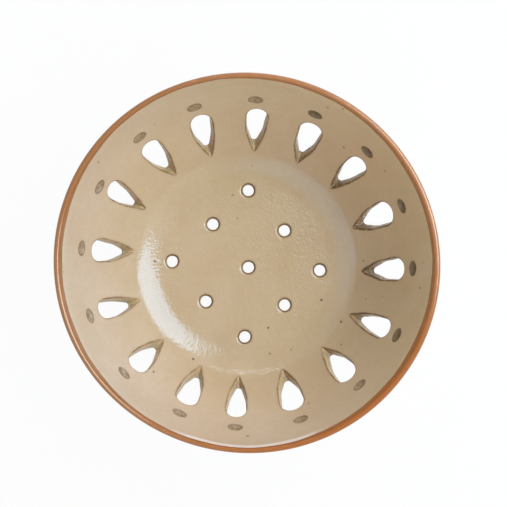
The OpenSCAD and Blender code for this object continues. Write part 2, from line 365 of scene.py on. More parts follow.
def teardrop_outline(k, tip_r, tip_shift, belly, ease):
    """Points and outward normals of a teardrop's outline in its own frame."""
    x, y, a = teardrop_side(k, tip_r, tip_shift, belly, ease)
    x, y, a = (np.concatenate(v) for v in ((x, x[-2::-1]), (y, -y[-2::-1]), (a, 2 * math.pi - a[-2::-1])))
    along = np.concatenate([[0], np.cumsum(np.hypot(np.diff(x), np.diff(y)))])
    # Points are closer together round the tip, and each keeps its share of both outlines.
    weight = 1 + TIP_DENSER * np.exp(-((x - x.min()) / TIP_DENSE_SPAN) ** 2)
    pace = np.concatenate([[0], np.cumsum(np.diff(along) * (weight[1:] + weight[:-1]) / 2)])
    share = np.arange(TEAR_STEPS) / TEAR_STEPS * pace[-1]
    px, py, pa = (np.interp(share, pace, v) for v in (x, y, a))
    t = 2 * math.pi * np.arange(TEAR_STEPS) / TEAR_STEPS
    uneven = waves(t, 40 + k, TEAR_WAVE, (3, 4, 5, 7)) * np.clip((px - x.min()) / WAVE_SPAN, 0.0, 1)
    normals = np.stack([np.cos(pa), np.sin(pa)], -1)
    return np.stack([px, py], -1) + uneven[:, None] * normals, normals


def through(place, flat, depth):
    """Points where lines square to a cutout's own plane reach a depth in the wall."""
    origin = place[:3, 3] + flat @ place[:3, :2].T
    line = place[:3, 2]
    height = -np.broadcast_to(np.asarray(depth, float), flat.shape[:1]).copy()
    for _ in range(12):
        off = depth_and_run(origin + height[:, None] * line)[0]
        height += off - depth
    return origin + height[:, None] * line


def distance_to_loop(points, loop, block=400):
    """Distance from each point to the nearest point of a closed loop."""
    nearest = np.empty(len(points))
    for i in range(0, len(points), block):
        d = points[i:i + block, None, :] - loop[None]
        nearest[i:i + block] = np.sqrt((d * d).sum(-1).min(1))
    return nearest


def inside_polygon(points, polygon):
    """Whether flat points lie inside a polygon."""
    x, y = points[:, 0:1], points[:, 1:2]
    ax, ay = polygon[:, 0], polygon[:, 1]
    bx, by = np.roll(ax, -1), np.roll(ay, -1)
    spans = (ay > y) != (by > y)
    crossing = ax + (y - ay) * (bx - ax) / np.where(by == ay, 1e-12, by - ay)
    return (spans & (x < crossing)).sum(1) % 2 == 1


def show(name, data):
    """Puts a mesh, lamp or camera in the scene."""
    obj = bpy.data.objects.new(name, data)
    bpy.context.scene.collection.objects.link(obj)
    return obj


# Building meshes: a sheet is a chart with holes, a closed shell joins two of them.
class Shell:
    """Collects vertices, faces and the glaze's values at each vertex of one piece."""

    def __init__(self):
        self.points, self.faces, self.values = [], [], {"edge_mm": [], "pool": [], "lip_mm": []}
        self.count = 0

    def add(self, points, edge=FAR, pool=0.0, lip=-FAR):
        first, n = self.count, len(points)
        self.points.append(np.asarray(points, float))
        for parts, value in zip(self.values.values(), (edge, pool, lip)):
            parts.append(np.broadcast_to(np.asarray(value, float), (n,)))
        self.count += n
        return np.arange(first, first + n)

    def loft(self, low, high):
        """Quads between two closed loops of vertex numbers, facing out to their left."""
        n = len(low)
        for i in range(n):
            j = (i + 1) % n
            self.faces.append((low[i], low[j], high[j], high[i]))

    def lofts(self, loops):
        for low, high in zip(loops[:-1], loops[1:]):
            self.loft(low, high)

    def close_disc(self, loop, centre, up, **values):
        """Fan from a loop to its centre point."""
        middle = self.add(centre, **values)[0]
        for i in range(len(loop)):
            face = (loop[i], loop[(i + 1) % len(loop)], middle)
            self.faces.append(face if up else face[::-1])

    def add_sheet(self, sheet, off, up, **values):
        """Adds one face of a sheet at a depth, and returns its vertex numbers."""
        numbers = self.add(on_surface(sheet.runs, sheet.turns, off), **values)
        self.faces += [tuple(numbers[t if up else t[::-1]]) for t in sheet.tris]
        return numbers

    def add_coat(self, sheet, front_off, back_off, up, **values):
        """Adds both faces of a sheet, joined round its holes; the front faces up or down."""
        front = self.add_sheet(sheet, front_off, up, **values)
        back = self.add_sheet(sheet, back_off, not up)
        for loop in sheet.loops:
            self.loft(*((front[loop], back[loop]) if up else (back[loop], front[loop])))
        return front, back

    def make(self, name, material, crease=math.radians(42)):
        points = thrown(np.concatenate(self.points)) * MM
        mesh = bpy.data.meshes.new(name)
        mesh.from_pydata(points.tolist(), [], [tuple(int(v) for v in f) for f in self.faces])
        mesh.validate()
        for key, parts in self.values.items():
            attribute = mesh.attributes.new(key, "FLOAT", "POINT")
            attribute.data.foreach_set("value", np.concatenate(parts).astype(np.float32))
        mesh.polygons.foreach_set("use_smooth", [True] * len(mesh.polygons))
        mesh.set_sharp_from_angle(angle=crease)
        mesh.materials.append(material)
        obj = show(name, mesh)
        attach(obj, "root")
        return obj


class Hole:
    """An opening in the chart: its own loop of chart points, and where each lies."""

    def __init__(self, loop_points, grading):
        self.run = depth_and_run(loop_points)[1]
        self.turn = np.arctan2(loop_points[:, 1], loop_points[:, 0])
        self.chart = chart_points(self.run, self.turn)
        self.grading = grading
        self.centre = loop_points.mean(0)
        self.reach = np.sqrt(((loop_points - self.centre) ** 2).sum(-1).max())

    def graded_ring(self, distance):
        """Runs and turns of a ring of free points at a distance round the opening."""
        ahead = np.roll(self.chart, -1, 0) - np.roll(self.chart, 1, 0)
        normal = np.stack([ahead[:, 1], -ahead[:, 0]], -1)
        normal /= np.linalg.norm(normal, axis=1)[:, None]
        if ((self.chart - self.chart.mean(0)) * normal).sum() < 0:
            normal = -normal
        scale = chart_radius(self.run) / section(self.run, 0)[0]
        moved = self.chart + normal * (distance * scale)[:, None]
        moved = moved[::1 if distance < 0.5 else 2]
        return chart_run(np.hypot(moved[:, 0], moved[:, 1])), np.arctan2(moved[:, 1], moved[:, 0])


def openings(loops, grading=()):
    return [Hole(loop, grading) for loop in loops]


def ring(run, count, shift=0.0):
    turn = (np.arange(count) + shift) * 2 * math.pi / count
    return np.full(count, float(run)), turn


def chart_points(run, turn):
    radius = chart_radius(run)
    return np.stack([radius * np.cos(turn), radius * np.sin(turn)], -1)


def free_points(run_from, run_to, holes, step, first):
    """Rings of points over a sheet, left out where they come near a hole."""
    runs, turns = [], []
    rows = max(2, int(round((run_to - run_from) / step)))
    for i in range(first, rows):
        run = run_from + (run_to - run_from) * i / rows
        radius = float(section(run, 0)[0])
        n = max(6, int(round(2 * math.pi * radius / step / RING_SPACE))) if radius > 1e-6 else 1
        run, turn = ring(run, n, 0.5 * (i % 2))
        runs.append(run)
        turns.append(turn)
    runs, turns = np.concatenate(runs), np.concatenate(turns)
    at = on_surface(runs, turns, 0.0)
    keep = np.ones(len(at), bool)
    for h in holes:
        near = np.nonzero(((at - h.centre) ** 2).sum(-1) < (h.reach + HOLE_MARGIN) ** 2)[0]
        far = distance_to_loop(at[near], on_surface(h.run, h.turn, 0.0))
        clear = h.grading[-1] + CLEAR_GRADED * step if h.grading else CLEAR_PLAIN * step
        keep[near] &= (far > clear) & ~inside_polygon(chart_points(runs[near], turns[near]), h.chart)
    return runs[keep], turns[keep]


def chart_triangles(flat, edges):
    """Triangles over flat points that keep the given edges, all facing up."""
    tris, origins = delaunay_2d_cdt([Vector(v) for v in flat.tolist()], edges, [], 0, 1e-6)[2:4]
    source = np.array([o[0] if len(o) else -1 for o in origins])
    if (source < 0).any():
        raise RuntimeError("the sheet's loops cross")
    tris = source[np.array(tris)]
    first, second = flat[tris[:, 1]] - flat[tris[:, 0]], flat[tris[:, 2]] - flat[tris[:, 0]]
    area = first[:, 0] * second[:, 1] - second[:, 0] * first[:, 1]
    tris[area < 0] = tris[area < 0][:, ::-1]
    return tris[np.abs(area) > 1e-12]


def triangulate(run_from, run_to, holes, step, inner_loop=False):
    """A sheet between two distances, with holes cut out.

    Its outer ring comes first, then the inner ring if there is one, then each hole."""
    runs, turns, edges = [], [], []

    def add_loop(run, turn, closed=True):
        first, n = sum(len(r) for r in runs), len(run)
        runs.append(run)
        turns.append(turn)
        if closed:
            edges.extend((first + i, first + (i + 1) % n) for i in range(n))
        return np.arange(first, first + n)

    outer = add_loop(*ring(run_to, TURN_STEPS))
    inner = add_loop(*ring(run_from, TURN_STEPS)) if inner_loop else None
    loops = [add_loop(h.run, h.turn) for h in holes]
    add_loop(*free_points(run_from, run_to, holes, step, 1 if inner_loop else 0), closed=False)
    for h in holes:
        for distance in h.grading:
            add_loop(*h.graded_ring(distance), closed=False)
    runs, turns = np.concatenate(runs), np.concatenate(turns)
    flat = chart_points(runs, turns)
    tris = chart_triangles(flat, edges)
    # The triangles that fill a hole go.
    owner = np.full(len(runs), -1)
    for i, loop in enumerate(loops):
        owner[loop] = i
    if inner_loop:
        owner[inner] = len(loops)
    owners = owner[tris]
    drop = (owners == len(loops)).all(1)
    for i, h in enumerate(holes):
        mine = np.nonzero((owners == i).all(1))[0]
        if len(mine):
            drop[mine] = inside_polygon(flat[tris[mine]].mean(1), h.chart)
    return SimpleNamespace(runs=runs, turns=turns, tris=tris[~drop], outer=outer, inner=inner, loops=loops)


# What lies where on the wall: the cutouts' loops, shared by every piece round them.
teardrops = []
for k in range(TEARDROPS):
    near_side = teardrop_outline(k, TIP_IN_R, TIP_IN_SHIFT, 1.0, SIDE_EASE)
    far_side = teardrop_outline(k, TIP_OUT_R, TIP_OUT_SHIFT, BELLY_OUT, SIDE_EASE_OUT)
    teardrops.append((teardrop_place(k), near_side, far_side))

drains = []
for row in range(3):
    for column in range(3):
        x, y = (DRAIN_PITCH * (v + s) for v, s in zip((row - 1, column - 1), DRAIN_SHARES[row][column]))
        drains.append((x * math.cos(DRAIN_TURN) - y * math.sin(DRAIN_TURN),
                       x * math.sin(DRAIN_TURN) + y * math.cos(DRAIN_TURN)))


def tip_share(k):
    """How near each point of a teardrop's outline is to its tip, 0 to 1."""
    x = teardrops[k][1][0][:, 0]
    return np.clip(1 - (x - x.min()) / TIP_SPAN, 0, 1) ** 2


def teardrop_loop(k, grow, depth):
    """A teardrop's loop at a depth, grown sideways, but less so round its tip.

    The knife went in slantwise at the tip, so the outline outside the bowl is shorter."""
    place, (near, near_normals), (far, far_normals) = teardrops[k]
    share = min(max(depth / WALL_T, 0.0), 1.0)
    flat = near + (far - near) * share
    normals = near_normals + (far_normals - near_normals) * share
    normals = normals / np.linalg.norm(normals, axis=1)[:, None]
    less = 1 - (1 - share) * TIP_LESS * tip_share(k)
    return through(place, flat + (grow * less)[:, None] * normals, depth)


def teardrop_loops(grow, depth):
    return [teardrop_loop(k, grow, depth) for k in range(TEARDROPS)]


def drain_loop(i, grow, depth=0.0):
    t = 2 * math.pi * np.arange(DRAIN_STEPS) / DRAIN_STEPS
    radius = DRAIN_R + grow + waves(t, 90 + i, 0.05, (2, 3, 4))
    x, y = drains[i]
    height = np.full(DRAIN_STEPS, FLOOR_Z - float(depth))
    return np.stack([x + radius * np.cos(t), y + radius * np.sin(t), height], -1)


def drain_loops(grow):
    return [drain_loop(i, grow) for i in range(len(drains))]


def pool_loop(k, reach, depth=0.0):
    """Ring round a dimple, at a depth."""
    t = 2 * math.pi * np.arange(POOL_STEPS) / POOL_STEPS
    run = DIMPLE_RUN + POOL_SQUASH * reach * np.cos(t)
    turn = pitch_turn(k, DIMPLE_SHARES[k]) + reach * np.sin(t) / section(run, 0)[0]
    return on_surface(run, turn, depth)


def pool_rims():
    return [pool_loop(k, POOL_REACH) for k in range(TEARDROPS)]


BALL_R = (DIMPLE_D ** 2 / 4 + DIMPLE_DEPTH ** 2) / (2 * DIMPLE_DEPTH)


def dimple_depth(q):
    """Depth of a dimple at a distance from its middle, melting into the wall."""
    bowl = DIMPLE_DEPTH - (BALL_R - math.sqrt(max(BALL_R ** 2 - q ** 2, 0)))
    return max(bowl, 0) + max(POOL_SOFT - abs(bowl), 0) ** 2 / (4 * POOL_SOFT)


def pool_floor(q):
    """Depth of the clay under a dimple's pool."""
    return max(math.sqrt((BALL_R + POOL_T) ** 2 - q ** 2) - (BALL_R - DIMPLE_DEPTH), GLAZE_T)


def nearest_loop(points, loops):
    """Distance from each point to the nearest of some loops, up to a few millimetres."""
    nearest = np.full(len(points), FAR)
    for loop in loops:
        middle = loop.mean(0)
        reach = np.sqrt(((loop - middle) ** 2).sum(-1).max()) + EDGE_MARGIN
        near = np.nonzero(((points - middle) ** 2).sum(-1) < reach ** 2)[0]
        if len(near):
            nearest[near] = np.minimum(nearest[near], distance_to_loop(points[near], loop))
    return nearest


# Materials.
def linear(red, green, blue):
    """A colour given as it shows on screen, 0 to 255."""
    shown = [v / 255 for v in (red, green, blue)]
    return (*(v / 12.92 if v <= 0.04045 else ((v + 0.055) / 1.055) ** 2.4 for v in shown), 1.0)


BEIGE = linear(206, 180, 147)
BEIGE_PALE = linear(215, 192, 163)
BEIGE_WARM = linear(196, 163, 126)
EDGE_BROWN = linear(88, 60, 34)
FACE_TAN = linear(230, 192, 146)
FACE_DULL = linear(122, 84, 34)
FACE_CRUMB_GLINT = linear(244, 214, 164)
FACE_BROWN = linear(72, 50, 26)
FACE_GREY = linear(182, 176, 152)
POOL_BROWN = linear(164, 132, 94)
POOL_DARK = linear(72, 46, 14)
BAND_ORANGE = linear(167, 90, 28)
BAND_BROWN = linear(160, 102, 56)
BAND_PALE = linear(173, 110, 66)
BAND_LINE = linear(112, 70, 38)
LIP_PALE = linear(224, 198, 156)
LIP_HIGHLIGHT = linear(250, 232, 216)
SPECK = linear(74, 52, 36)
CLAY = linear(168, 122, 84)
CLAY_DARK = linear(132, 92, 62)
SLIP_DARK = linear(112, 78, 54)


class Nodes:
    """Short way to add linked nodes to a material, lamp or world."""

    def __init__(self, owner):
        owner.use_nodes = True
        self.tree = owner.node_tree
        self.tree.nodes.clear()
        self.where = None

    def add(self, kind, **settings):
        node = self.tree.nodes.new("ShaderNode" + kind)
        for key, value in settings.items():
            setattr(node, key, value)
        return node

    def link(self, source, target):
        self.tree.links.new(source, target)

    def put(self, socket, value):
        if isinstance(value, bpy.types.NodeSocket):
            self.link(value, socket)
        else:
            socket.default_value = value

    def math(self, operation, a, b=0.0, clamp=False):
        node = self.add("Math", operation=operation, use_clamp=clamp)
        self.put(node.inputs[0], a)
        self.put(node.inputs[1], b)
        return node.outputs[0]

    def plus(self, a, b):
        return self.math("ADD", a, b)

    def minus(self, a, b):
        return self.math("SUBTRACT", a, b)

    def times(self, a, b):
        return self.math("MULTIPLY", a, b)

    def most(self, a, b):
        return self.math("MAXIMUM", a, b)

    def weighed(self, a, a_share, b, b_share):
        """Two values added up, each by its own share."""
        return self.plus(self.times(a, a_share), self.times(b, b_share))

    def swing(self, noise, span):
        """Noise turned into a shift to both sides."""
        return self.times(self.minus(noise, 0.5), span)

    def split(self, vector):
        node = self.add("SeparateXYZ")
        self.link(vector, node.inputs[0])
        return node.outputs

    def mix(self, share, a, b):
        node = self.add("Mix", data_type="RGBA", clamp_factor=True)
        self.put(node.inputs[0], share)
        self.put(node.inputs[6], a)
        self.put(node.inputs[7], b)
        return node.outputs[2]

    def ramp(self, value, *stops):
        """Piecewise value: stops are (input, output) pairs, from the lowest input up."""
        low, high = stops[0][0], stops[-1][0]
        node = self.add("ValToRGB")
        marks = node.color_ramp.elements
        for i, (at, out) in enumerate(stops):
            place = (at - low) / (high - low)
            mark = marks[i] if i < 2 else marks.new(place)
            mark.position = place
            mark.color = (out, out, out, 1)
        share = self.math("DIVIDE", self.minus(value, low), high - low, clamp=True)
        self.link(share, node.inputs[0])
        return node.outputs[0]

    def texture(self, kind, size_mm, **values):
        """A texture over the piece's own place in millimetres."""
        node = self.add(kind)
        self.link(self.where, node.inputs["Vector"])
        node.inputs["Scale"].default_value = 1 / size_mm
        for name, value in values.items():
            node.inputs[name].default_value = value
        return node.outputs

    def noise(self, size_mm, detail, rough, warp=0.0):
        return self.texture("TexNoise", size_mm, Detail=detail, Roughness=rough, Distortion=warp)[0]

    def cells(self, size_mm):
        """Distance in millimetres to the nearest of some strewn points, and its own colour."""
        outputs = self.texture("TexVoronoi", size_mm)
        return self.times(outputs["Distance"], size_mm), outputs["Color"]

    def value(self, name):
        return self.add("Attribute", attribute_name=name).outputs["Fac"]

    def seen(self):
        """1 for rays from the camera, from a mirroring surface or through a clear one."""
        rays = self.add("LightPath").outputs
        return self.most(rays["Is Camera Ray"], self.most(rays["Is Glossy Ray"], rays["Is Transmission Ray"]))

    def finish(self, share, a, b, output):
        """Two shaders mixed into the output."""
        node = self.add("MixShader")
        self.put(node.inputs[0], share)
        self.link(a.outputs[0], node.inputs[1])
        self.link(b.outputs[0], node.inputs[2])
        self.link(node.outputs[0], self.add(output).inputs[0])


def new_material(name):
    material = bpy.data.materials.new(name)
    n = Nodes(material)
    scaled = n.add("VectorMath", operation="SCALE")
    n.link(n.add("TexCoord").outputs["Object"], scaled.inputs[0])
    scaled.inputs["Scale"].default_value = 1 / MM
    n.where = scaled.outputs[0]
    return material, n


def surface(n, colour, roughness, height, strength, depth_mm):
    """Principled surface with small relief, joined to the material's output."""
    shader = n.add("BsdfPrincipled")
    n.link(colour, shader.inputs["Base Color"])
    n.link(roughness, shader.inputs["Roughness"])
    bump = n.add("Bump")
    bump.inputs["Strength"].default_value = strength
    bump.inputs["Distance"].default_value = depth_mm * MM
    n.link(height, bump.inputs["Height"])
    n.link(bump.outputs[0], shader.inputs["Normal"])
    n.link(shader.outputs[0], n.add("OutputMaterial").inputs[0])
    return shader


def coat_colour(n, mottle):
    """The beige glaze away from edges: cloudy, mottled and finely grained."""
    body = n.mix(n.ramp(n.noise(34, 3, 0.55, 0.4), (0.3, 0.0), (0.7, 1.0)), BEIGE_WARM, BEIGE_PALE)
    body = n.mix(0.62, body, BEIGE)
    body = n.mix(n.ramp(mottle, (0.35, 0.0), (0.75, 0.32)), body, BEIGE_WARM)
    return n.mix(n.ramp(n.noise(0.8, 2, 0.5), (0.45, 0.0), (0.8, 0.2)), body, BEIGE_PALE)


def cut_face_colour(n, edge, east_shade):
    """Tan faces, grey deeper in, crumbly and painted darker on the right as painted shade."""
    crumbs = n.ramp(n.noise(0.9, 2, 0.6), (0.45, 0.0), (0.58, 0.9))
    crumbs = n.times(crumbs, n.ramp(east_shade, (0.0, 0.25), (1.0, 0.9)))
    deep = n.ramp(edge, (-3.4, 0.9), (-1.7, 0.0))
    deep = n.times(deep, n.ramp(east_shade, (0.0, 1.0), (1.0, 0.3)))
    tan = n.mix(deep, n.mix(east_shade, FACE_TAN, FACE_DULL), FACE_GREY)
    # Faces that look to the lower left are painted darker: painted shade.
    look = n.split(n.add("NewGeometry").outputs["Normal"])
    thin = n.ramp(n.weighed(look[0], -0.85, look[1], -0.53), (0.1, 0.0), (0.6, 0.6))
    tan = n.mix(thin, tan, FACE_DULL)
    # Pale crumbs on the faces, stronger on the right: partly crumbly grit, partly painted glints.
    pale = n.ramp(n.noise(1.3, 2, 0.7), (0.55, 0.0), (0.61, 0.8))
    pale = n.times(pale, n.ramp(east_shade, (0.0, 0.5), (1.0, 1.0)))
    return n.mix(pale, n.mix(crumbs, tan, FACE_BROWN), FACE_CRUMB_GLINT)


def cut_edges(n, body, edge, mottle, height, east_shade):
    """Glaze thins over cut edges and burns brown there; round the floor's holes the line is stronger, partly
    as painted shade of their steep rims.
    """
    ragged = n.plus(edge, n.swing(mottle, 0.9))
    face = n.ramp(ragged, (-2.2, 0.75), (-0.6, 0.9), (0.3, 0.0))
    body = n.mix(face, body, cut_face_colour(n, edge, east_shade))
    line = n.ramp(ragged, (-1.25, 0.0), (-0.75, 0.6), (-0.3, 0.85), (0.05, 0.4), (0.4, 0.06), (1.4, 0.0))
    uneven = n.ramp(n.noise(6, 2, 0.5), (0.38, 0.5), (0.6, 1.0))
    # Round the floor's holes the brown line is pushed darker: partly painted shade.
    floor_hole_shade = n.times(n.ramp(height, (FLOOR_Z + 0.5, 1.0), (FLOOR_Z + 2.5, 0.0)), 1.25)
    return n.mix(n.times(line, n.most(uneven, floor_hole_shade)), body, EDGE_BROWN)


def pooled(n, body, pool, mottle, lumps, east_shade):
    """Glaze pooled in the dimples, in uneven patches, painted darker on the right as painted shade."""
    depth = n.ramp(pool, (0.0, 0.0), (0.2, 0.55), (1.0, 0.8))
    body = n.mix(depth, body, n.mix(east_shade, POOL_BROWN, POOL_DARK))
    body = n.mix(n.times(depth, n.ramp(lumps, (0.45, 0.0), (0.62, 0.5))), body, POOL_DARK)
    rim = n.ramp(pool, (0.0, 0.0), (0.03, 0.25), (0.14, 0.6), (0.4, 0.2), (1.0, 0.0))
    return n.mix(n.times(rim, n.ramp(mottle, (0.3, 0.3), (0.65, 1.2))), body, POOL_DARK)


def banded(n, body, lip, x, y):
    """The band over the lip: orange at the lower right, paler at the upper right."""
    soft = n.plus(lip, n.swing(n.noise(5, 3, 0.55), 0.9))
    patch = n.swing(n.noise(7, 4, 0.6, 0.6), 90)
    up = n.weighed(y, 0.866, x, -0.5)
    band = n.mix(n.ramp(n.plus(up, patch), (-97, 0.0), (-30, 1.0)), BAND_ORANGE, BAND_BROWN)
    right = n.times(n.plus(x, y), 0.707)
    band = n.mix(n.ramp(n.plus(right, patch), (30, 0.0), (90, 1.0)), band, BAND_PALE)
    body = n.mix(n.ramp(soft, (-5.5, 0.0), (-1.5, 0.25), (0.0, 0.3)), body, LIP_PALE)
    # A pale line along the band, at the bottom only: a painted highlight of a glaze ridge.
    ridge_highlight = n.ramp(soft, (-4.4, 0.0), (-3.0, 0.8), (-0.4, 0.8), (-0.1, 0.0))
    body = n.mix(n.times(ridge_highlight, n.ramp(y, (-91, 1.0), (-86, 0.0))), body, LIP_HIGHLIGHT)
    body = n.mix(n.ramp(soft, (-0.35, 0.0), (0.15, 1.0)), body, band)
    return n.mix(n.ramp(soft, (-0.4, 0.0), (0.1, 0.5), (0.4, 0.45), (1.1, 0.0)), body, BAND_LINE)


def speckled(n, body, edge):
    """Iron specks of several sizes, kept off cut edges, and pale pinholes."""
    near, chance = n.cells(10)
    size = n.add("SeparateColor")
    n.link(chance, size.inputs[0])
    near = n.plus(near, n.times(size.outputs[0], 0.9))
    clear = n.ramp(edge, (1.2, 0.0), (2.4, 1.0))
    body = n.mix(n.times(n.ramp(near, (0.55, 0.85), (0.95, 0.0)), clear), body, SPECK)
    return n.mix(n.ramp(n.cells(8.3)[0], (0.2, 0.55), (0.4, 0.0)), body, BEIGE_PALE), near


def glaze_relief(n, edge, pool, lip, speck, lumps):
    """Orange peel, fine pits and specks, with lumpier dimples and cut faces."""
    height = n.weighed(n.noise(4.5, 2, 0.5), 0.25, n.noise(1.3, 1, 0.5), 0.52)
    height = n.minus(height, n.ramp(speck, (0.2, 0.2), (0.7, 0.0)))
    height = n.times(height, n.ramp(lip, (-0.5, 1.0), (0.5, 0.45)))
    lumpy = n.ramp(edge, (-1.2, 1.0), (-0.3, 0.0))
    lumpy = n.most(n.ramp(pool, (0.0, 0.0), (0.2, 1.0)), lumpy)
    return n.plus(height, n.times(n.times(lumps, lumpy), 2.2))


def glaze(name, roughness, ior=1.55, tint=(1, 1, 1, 1)):
    """The fired glaze: one recipe, so that it runs on unbroken from piece to piece."""
    material, n = new_material(name)
    edge, pool, lip = n.value("edge_mm"), n.value("pool"), n.value("lip_mm")
    x, y, z = n.split(n.where)
    mottle, lumps = n.noise(3.2, 4, 0.6), n.noise(1.7, 2, 0.6)
    # Faces and dimples on the right are painted darker, as painted shade.
    east_shade = n.ramp(n.weighed(x, 0.94, y, 0.34), (40, 0.0), (58, 1.0))
    body = cut_edges(n, coat_colour(n, mottle), edge, mottle, z, east_shade)
    body = pooled(n, body, pool, mottle, lumps, east_shade)
    body = banded(n, body, lip, x, y)
    body, speck = speckled(n, body, edge)
    # The thin glaze on cut faces is dry, so it's rougher there.
    dry = n.ramp(edge, (-2.4, 0.42), (-0.5, 0.2), (0.0, 0.0))
    rough = n.plus(n.plus(roughness, n.times(mottle, 0.06)), dry)
    shader = surface(n, body, rough, glaze_relief(n, edge, pool, lip, speck, lumps), 1.0, 0.25)
    shader.inputs["IOR"].default_value = ior
    shader.inputs["Specular Tint"].default_value = tint
    return material


def bare_clay(name, light, dark, grit_mm):
    """Unglazed fired clay: dry and gritty."""
    material, n = new_material(name)
    blotch, fine = n.noise(9, 4, 0.6, 0.5), n.noise(0.7, 3, 0.6)
    body = n.mix(n.ramp(blotch, (0.3, 0.0), (0.7, 1.0)), dark, light)
    body = n.mix(n.ramp(fine, (0.4, 0.0), (0.75, 0.45)), body, dark)
    body = n.mix(n.ramp(n.cells(2.4)[0], (0.18, 0.6), (0.32, 0.0)), body, SPECK)
    rough = n.plus(0.68, n.times(fine, 0.2))
    surface(n, body, rough, n.weighed(fine, 0.5, blotch, 0.5), 0.8, grit_mm)
    return material


beige_glaze = glaze("beige_glaze", 0.04)
orange_glaze = glaze("orange_glaze", 0.03, 2.0, (1.0, 0.58, 0.36, 1))
edge_glaze = glaze("edge_glaze", 0.03, 1.62, (1.0, 0.82, 0.66, 1))
pooled_glaze = glaze("pooled_glaze", 0.06, 1.42)
fired_clay = bare_clay("fired_clay", CLAY, CLAY_DARK, 0.25)
fired_slip = bare_clay("fired_slip", CLAY_DARK, SLIP_DARK, 0.15)

# Where the glaze inside goes over from triangles to rings that follow the band's wavy line,
# and those rings' shares of the way.
JOIN_RUN = RUN_LIP - 11.0
JOIN_SHARES = (0.15, 0.3, 0.45, 0.58, 0.7, 0.8, 0.88, 0.94, 0.98, 1.0)
TURNS = np.arange(TURN_STEPS) * 2 * math.pi / TURN_STEPS
BAND_RUN = band_edge_run(TURNS)
BAND_MEAN = BAND_RUN.mean()
# Distances of the rings round each hole in a glaze sheet, and round each dimple.
GRADING = (0.3, 1.1)
POOL_GRADING = (0.9,)
# Width of the outside coat's rounded lower edge, and the share of its thickness at the end.
ROUND_W = 1.2
ROUND_LEAST = 0.35
# Rings of a dimple's pool and of the clay under it, from the rim inwards.
POOL_RINGS = (POOL_REACH, 4.6, 4.52, 4.42, 4.32, 4.22, 4.12, 4.02, 3.9, 3.7, 3.4, 3.0, 2.5, 1.9, 1.2, 0.6)
UNDER_RINGS = (4.3, 3.6, 2.7, 1.8, 0.9)


def bowl_ring(run, off):
    """Points round the whole bowl, at one distance along its surface or one for each turn."""
    return on_surface(np.broadcast_to(run, TURNS.shape), TURNS, off)


def nearest_edge(points):
    """Distance inside the bowl from each point to the nearest cutout's brown line."""
    holes = nearest_loop(points, drain_loops(DRAIN_EDGE_R)) + DRAIN_EDGE_R - LINE_LEAD
    return np.minimum(nearest_loop(points, teardrop_loops(EDGE_R, 0.0)), holes)


def inside_glaze():
    """From the middle of the floor up to the lip's band."""
    shell = Shell()
    holes = openings(teardrop_loops(EDGE_R, 0.0) + drain_loops(DRAIN_EDGE_R), GRADING)
    holes += openings(pool_rims(), POOL_GRADING)
    sheet = triangulate(0.0, JOIN_RUN, holes, WALL_STEP)
    edge = nearest_edge(on_surface(sheet.runs, sheet.turns, 0.0))
    front, back = shell.add_coat(sheet, 0.0, GLAZE_T, True, edge=edge, lip=sheet.runs - BAND_MEAN)
    front_rows, back_rows = [front[sheet.outer]], [back[sheet.outer]]
    for share in JOIN_SHARES:
        run = JOIN_RUN + (BAND_RUN - JOIN_RUN) * share
        front_rows.append(shell.add(bowl_ring(run, 0.0), lip=run - BAND_RUN))
        back_rows.append(shell.add(bowl_ring(run, GLAZE_T)))
    shell.lofts(front_rows[::-1])
    shell.lofts(back_rows)
    shell.loft(back_rows[-1], front_rows[-1])
    return shell.make("Inside_glaze", beige_glaze)


def outside_glaze():
    """From just above the foot up to the lip's band, with the teardrops cut out."""
    shell = Shell()
    start_r = FOOT_OUT_R + SLIP_FILLET + BARE_W
    start = RUN_CURVE + CURVE_R * math.asin((start_r - FLOOR_R) / (CURVE_R + CLAY_OUT))
    loops = teardrop_loops(OUT_EDGE_R, WALL_T)
    holes = openings(loops, GRADING)
    sheet = triangulate(start, float(BAND_END_RUN), holes, WALL_STEP, inner_loop=True)
    points = on_surface(sheet.runs, sheet.turns, WALL_T)
    edge = np.minimum(nearest_loop(points, loops), (sheet.runs - start) * 1.2)
    # A rounded lower edge, where the glaze stopped.
    thin = np.clip((sheet.runs - start) / ROUND_W, 0, 1)
    off = CLAY_OUT + GLAZE_T * (ROUND_LEAST + (1 - ROUND_LEAST) * np.sqrt(thin * (2 - thin)))
    front, back = shell.add_coat(sheet, off, CLAY_OUT, False, edge=edge, lip=sheet.runs - BAND_END_RUN)
    shell.loft(front[sheet.outer], back[sheet.outer])
    shell.loft(back[sheet.inner], front[sheet.inner])
    return shell.make("Outside_glaze", beige_glaze)


def underside_glaze():
    """On the floor's flat part inside the foot, with a rounded outer edge."""
    shell = Shell()
    round_r, round_h = 0.25, 0.3
    radius = FOOT_OUT_R - FOOT_W - SLIP_FILLET - round_r
    loops = drain_loops(OUT_EDGE_R)
    # One ring round each hole only, since the outer ones lie near the disc's edge.
    sheet = triangulate(0.0, radius, openings(loops, GRADING[:1]), WALL_STEP)
    edge = nearest_loop(on_surface(sheet.runs, sheet.turns, 0.0), loops)
    front, back = shell.add_coat(sheet, WALL_T, CLAY_OUT, False, edge=edge)
    side = [front[sheet.outer]]
    for a in np.linspace(0, math.pi / 2, 5)[1:]:
        off = WALL_T - round_h * (1 - math.cos(a))
        side.append(shell.add(bowl_ring(radius + round_r * math.sin(a), off), edge=0.2))
    shell.lofts(side + [back[sheet.outer]])
    return shell.make("Underside_glaze", beige_glaze)


